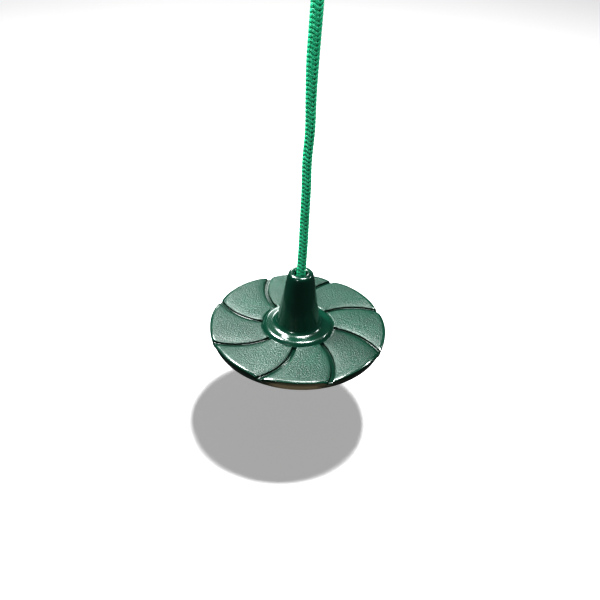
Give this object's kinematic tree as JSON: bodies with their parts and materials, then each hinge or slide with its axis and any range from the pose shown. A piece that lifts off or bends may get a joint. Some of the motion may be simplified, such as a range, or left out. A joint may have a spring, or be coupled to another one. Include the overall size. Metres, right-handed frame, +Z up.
{
  "type": "disc swing",
  "caption": "Rigid moulded-plastic disc swing seat with a tall conical hub, hung on a braided rope with a spliced eye, thimble and spring snap hook.",
  "frame": {"origin": "inside of the snap hook's top bow, at the point that bears on the hanger", "axes": "+Z up along the rope; X lies in the plane of the snap hook, towards its gate; Y across it, away from the usual viewer"},
  "size_m": [0.28, 0.28, 0.7572],
  "materials": {
    "seat_plastic": "dark green moulded polyethylene, fine pebble grain on the panels, gloss on flange, hub and grooves",
    "rope_fibre": "bright green braided polypropylene multifilament",
    "zinc_steel": "bright zinc plated"
  },
  "bodies": {
    "hook": {"hook_body": "zinc_steel", "gate_rivet": "zinc_steel"},
    "gate": {"hook_gate": "zinc_steel", "gate_latch_pin": "zinc_steel", "gate_plunger": "zinc_steel", "gate_spring": "zinc_steel"},
    "rope": {"rope_line": "rope_fibre", "rope_splice": "rope_fibre", "rope_eye": "rope_fibre", "stopper_knot": "rope_fibre", "rope_tail": "rope_fibre", "thimble": "zinc_steel"},
    "washer": {"seat_washer": "zinc_steel"},
    "seat": {"seat_body": "seat_plastic"}
  },
  "joints": [
    {"name": "gate_open", "type": "hinge", "parent": "hook", "child": "gate", "pos_m": [0.016, 0, -0.046], "axis": [0, -1, 0], "range_deg": [0, 28], "stiffness_Nm_per_rad": 0.25, "springref_deg": -17.19},
    {"name": "rope_swing", "type": "hinge", "parent": "hook", "child": "rope", "pos_m": [0, 0, -0.068], "axis": [1, 0, 0], "range_deg": [-60, 60]},
    {"name": "seat_lift", "type": "slide", "parent": "rope", "child": "washer", "axis": [0, 0, 1], "range_m": [0, 0.24]},
    {"name": "seat_spin", "type": "hinge", "parent": "washer", "child": "seat", "pos_m": [0, 0, -0.673], "axis": [0, 0, 1], "continuous": true}
  ]
}
